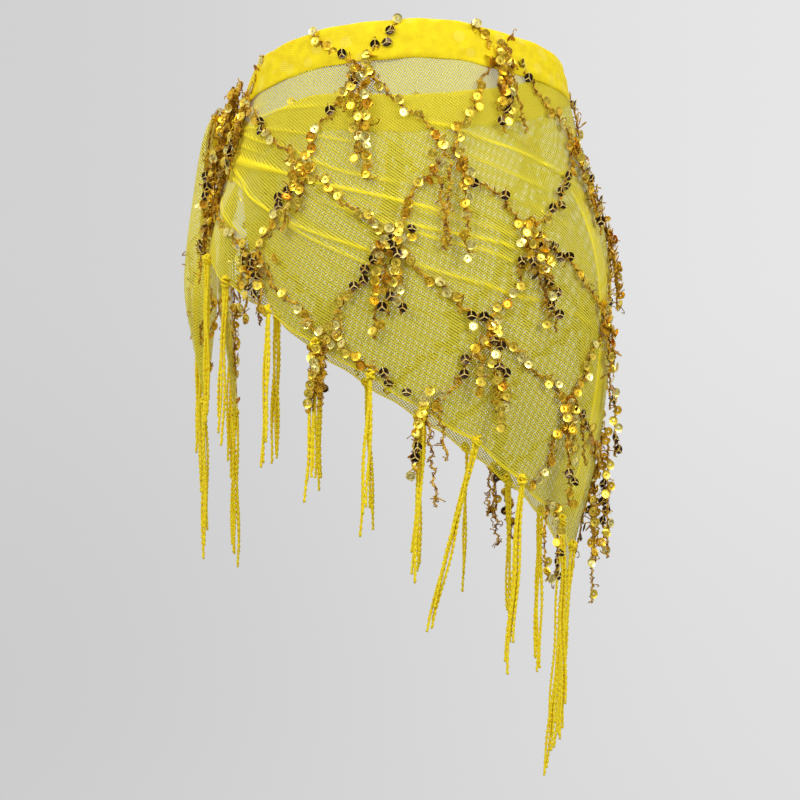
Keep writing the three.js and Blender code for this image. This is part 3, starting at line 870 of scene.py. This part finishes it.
# A tassel's top is as far out as the deepest oval of the next 40 mm, so that it hangs clear of the hips.
for n, (angle, length, lean) in enumerate(hem_tassels, 1):
    _, _, hem = cloth_edges(np.array(angle))
    depths = [float(along(hips, "height", "half_depth", hem - drop)) for drop in (0, 20, 40)]
    top = on_hips(np.array(angle), hem + 3, 2.0 + max(depths) - depths[0]) / MM
    tassel(f"tassel_{n:02d}", f"tassel_hem_{n:02d}", top, length, lean)


# --- The knot -------------------------------------------------------------
# The scarf's two narrow ends are gathered and tied once over each other. One end wraps the other in a pleated
# turn. Sizes here are in metres.

low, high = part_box("knot")
KNOT_MIDDLE = (np.array(low) + np.array(high)) / 2
KNOT_TURN = math.radians(-22)
out_way = np.array([math.cos(KNOT_TURN), math.sin(KNOT_TURN), 0])
side_way = np.array([-math.sin(KNOT_TURN), math.cos(KNOT_TURN), 0])
up_way = np.array([0, 0, 1.0])


def knot_lump(name, half_out, half_side, half_up, pleats, depth, slant, rows=64, sides=96):
    """A gathered lump: an oval ball whose surface rises and falls in pleats that run over it on a slant. Its
    two poles are small closed rings."""
    around = np.linspace(0, 2 * np.pi, sides, endpoint=False)[None]
    down = np.linspace(0.04, np.pi - 0.04, rows)[:, None]
    size = 1 + depth * np.abs(np.sin(pleats / 2 * (around + slant * down))) * np.sin(down)
    ball = np.stack([size * np.sin(down) * np.cos(around), size * np.sin(down) * np.sin(around),
                     size * np.cos(down) + 0 * around], -1)
    points = (KNOT_MIDDLE + ball[..., :1] * half_out * out_way + ball[..., 1:2] * half_side * side_way
              + ball[..., 2:] * half_up * up_way)
    last_ring = (rows - 1) * sides
    faces = np.concatenate([
        grid_faces(rows, sides, closed=True), end_faces(sides), end_faces(sides)[:, ::-1] + last_ring])
    return add_mesh(name, points.reshape(-1, 3), faces, rolled_net)


WRAP_OUT, WRAP_UP = 0.0150, 0.0235
WRAP_HALF_BROAD, WRAP_HALF_THICK, WRAP_PLEAT = 0.0085, 0.0032, 0.0006


def knot_wrap(rows=120, sides=30):
    """The turn round the knot: a flat pleated strap, a ring round the lump's middle, tipped forward. It is a
    closed section carried round a closed oval, broader on the outer side."""
    around = np.linspace(0, 2 * np.pi, rows, endpoint=False)[:, None]
    across = np.linspace(0, 2 * np.pi, sides, endpoint=False)[None]
    breadth = WRAP_HALF_BROAD * (1 + 0.25 * np.cos(around))
    pleat = WRAP_PLEAT * np.sin(across * 6 + 2 * np.sin(around))
    stand = 1 + (WRAP_HALF_THICK * np.sin(across) + pleat) / WRAP_OUT
    ring_out = (WRAP_OUT * stand * np.cos(around))[..., None]
    ring_up = (WRAP_UP * stand * np.sin(around))[..., None]
    rise = (breadth * np.cos(across) + 0.0014 * np.cos(around))[..., None]
    points = KNOT_MIDDLE + ring_out * out_way + ring_up * up_way + rise * side_way
    faces = grid_faces(rows, sides, closed=True, ring=True)
    return add_mesh("knot_wrap", points.reshape(-1, 3), faces, rolled_net)


knot_ends = knot_lump("knot_ends", half_out=0.0125, half_side=0.0165, half_up=0.022, pleats=18, depth=0.16,
                      slant=0.7)
slotted(knot_ends)
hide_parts("knot")
slotted(knot_wrap())


# --- The tails ------------------------------------------------------------
# What is left of the two ends hangs from the knot in soft folds: each a tapering sheet of the same net, with
# its sequin strings turned inwards and its own tassels along its edge.

# Each tail has the number of its folds, its rows, its tassels (how far across and down, and how long), and
# its flat width and length in metres and its area in square metres.
tails = {
    "tail_back": (1.5, table("down x y z half depth", [
        (0, -158, 36, -22, 11, 1), (0.07, -167, 36, -21, 13, 2), (0.16, -175, 36, -42, 16, 4),
        (0.36, -180, 35, -95, 25, 8), (0.58, -183, 32, -152, 36, 12), (0.7, -184, 31, -184, 38, 12),
        (0.86, -182, 31, -228, 22, 7), (1, -178, 31, -272, 5, 1)]),
        [(-1, 0.7, 136), (-1, 0.86, 130), (0, 1, 142)], (0.13, 0.28, 0.019)),
    "tail_front": (1.0, table("down x y z half depth", [
        (0, -150, 48, -79, 8, 1), (0.2, -161, 62, -106, 14, 3), (0.45, -166, 76, -154, 24, 5),
        (0.62, -165, 80, -192, 26, 5), (0.82, -160, 82, -238, 14, 3), (1, -156, 83, -284, 5, 1)]),
        [(-1, 0.7, 134), (0, 1, 142)], (0.10, 0.22, 0.0115)),
}
TAIL_ROWS, TAIL_COLUMNS = 150, 70
TAIL_STRINGS = 4
# The tails' threads are painted lighter than over the hips, as painted light: the bright studio shines
# through their single layer.
painted_backlit_net = net_material("painted_backlit_yellow_net", (0.95, 0.85, 0.11), (0.70, 0.62, 0.06), (0.99, 0.84, 0.03),
                         [(0.62, 0.0025, 0.44), (-1.25, 0.0033, 0.36)])


def on_tail(rows, folds, across, down, proud=0.0):
    """Points of a tail: across its width a wave of the given folds, with small gathers, as deep as its rows
    say, and a little ripple along both edges."""
    at = {name: along(rows, "down", name, down) for name in ("x", "y", "z", "half", "depth")}
    wave = at["depth"] * np.cos(np.pi * folds * across)
    wave = wave + 0.22 * at["depth"] * np.sin(9 * across + 5 * down) + 0.5 * np.sin(17 * across - 3 * down)
    ripple = 3.0 * np.sin(7 * down + 1) * np.abs(across)
    sideways = at["y"] - across * (at["half"] + ripple * 0.5)
    return np.stack([at["x"] - wave - proud, sideways, at["z"] + ripple * 0.6], -1)


for name, (folds, rows, ends, (width, length, area)) in tails.items():
    down, across = np.meshgrid(np.linspace(0, 1, TAIL_ROWS), np.linspace(1, -1, TAIL_COLUMNS), indexing="ij")
    points = on_tail(rows, folds, across, down)
    edge = bump(np.abs(across) - 0.97, 0.05)
    layers = 1.6 * edge + 0.3 * np.cos(np.pi * folds * across) ** 6
    uv = np.stack([across * 0.055, points[..., 2] * MM], -1)
    faces = grid_faces(TAIL_ROWS, TAIL_COLUMNS)[:, ::-1]
    tail = add_mesh(name + "_net", points.reshape(-1, 3) * MM, faces, painted_backlit_net, uv=uv.reshape(-1, 2),
                    layers=layers.ravel())
    slotted(tail)
    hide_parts(name)
    strings = Strings()
    for route in range(TAIL_STRINGS):
        place = np.linspace(0.08, rng.uniform(0.85, 0.97), 110)
        sideways = np.clip(-0.75 + 0.5 * route + 0.35 * np.sin(place * 9 + route * 2), -0.95, 0.95)
        strings.sew(on_tail(rows, folds, sideways, place, -2.2), np.tile([1.0, 0.2, 0], (110, 1)), loose=0.5)
    tail_pieces = chain_pieces(name, strings) + sequin_pieces(name + "_sequins", strings, 1)
    for n, (edge_across, edge_down, hang) in enumerate(ends, 1):
        proud = 3.0 if edge_down < 1 else 0
        top = on_tail(rows, folds, np.array(float(edge_across)), np.array(float(edge_down)), proud)
        tail_pieces.append(tassel(f"{name}_tassel_{n}", f"tassel_{name}_{n}", top, hang, 0))
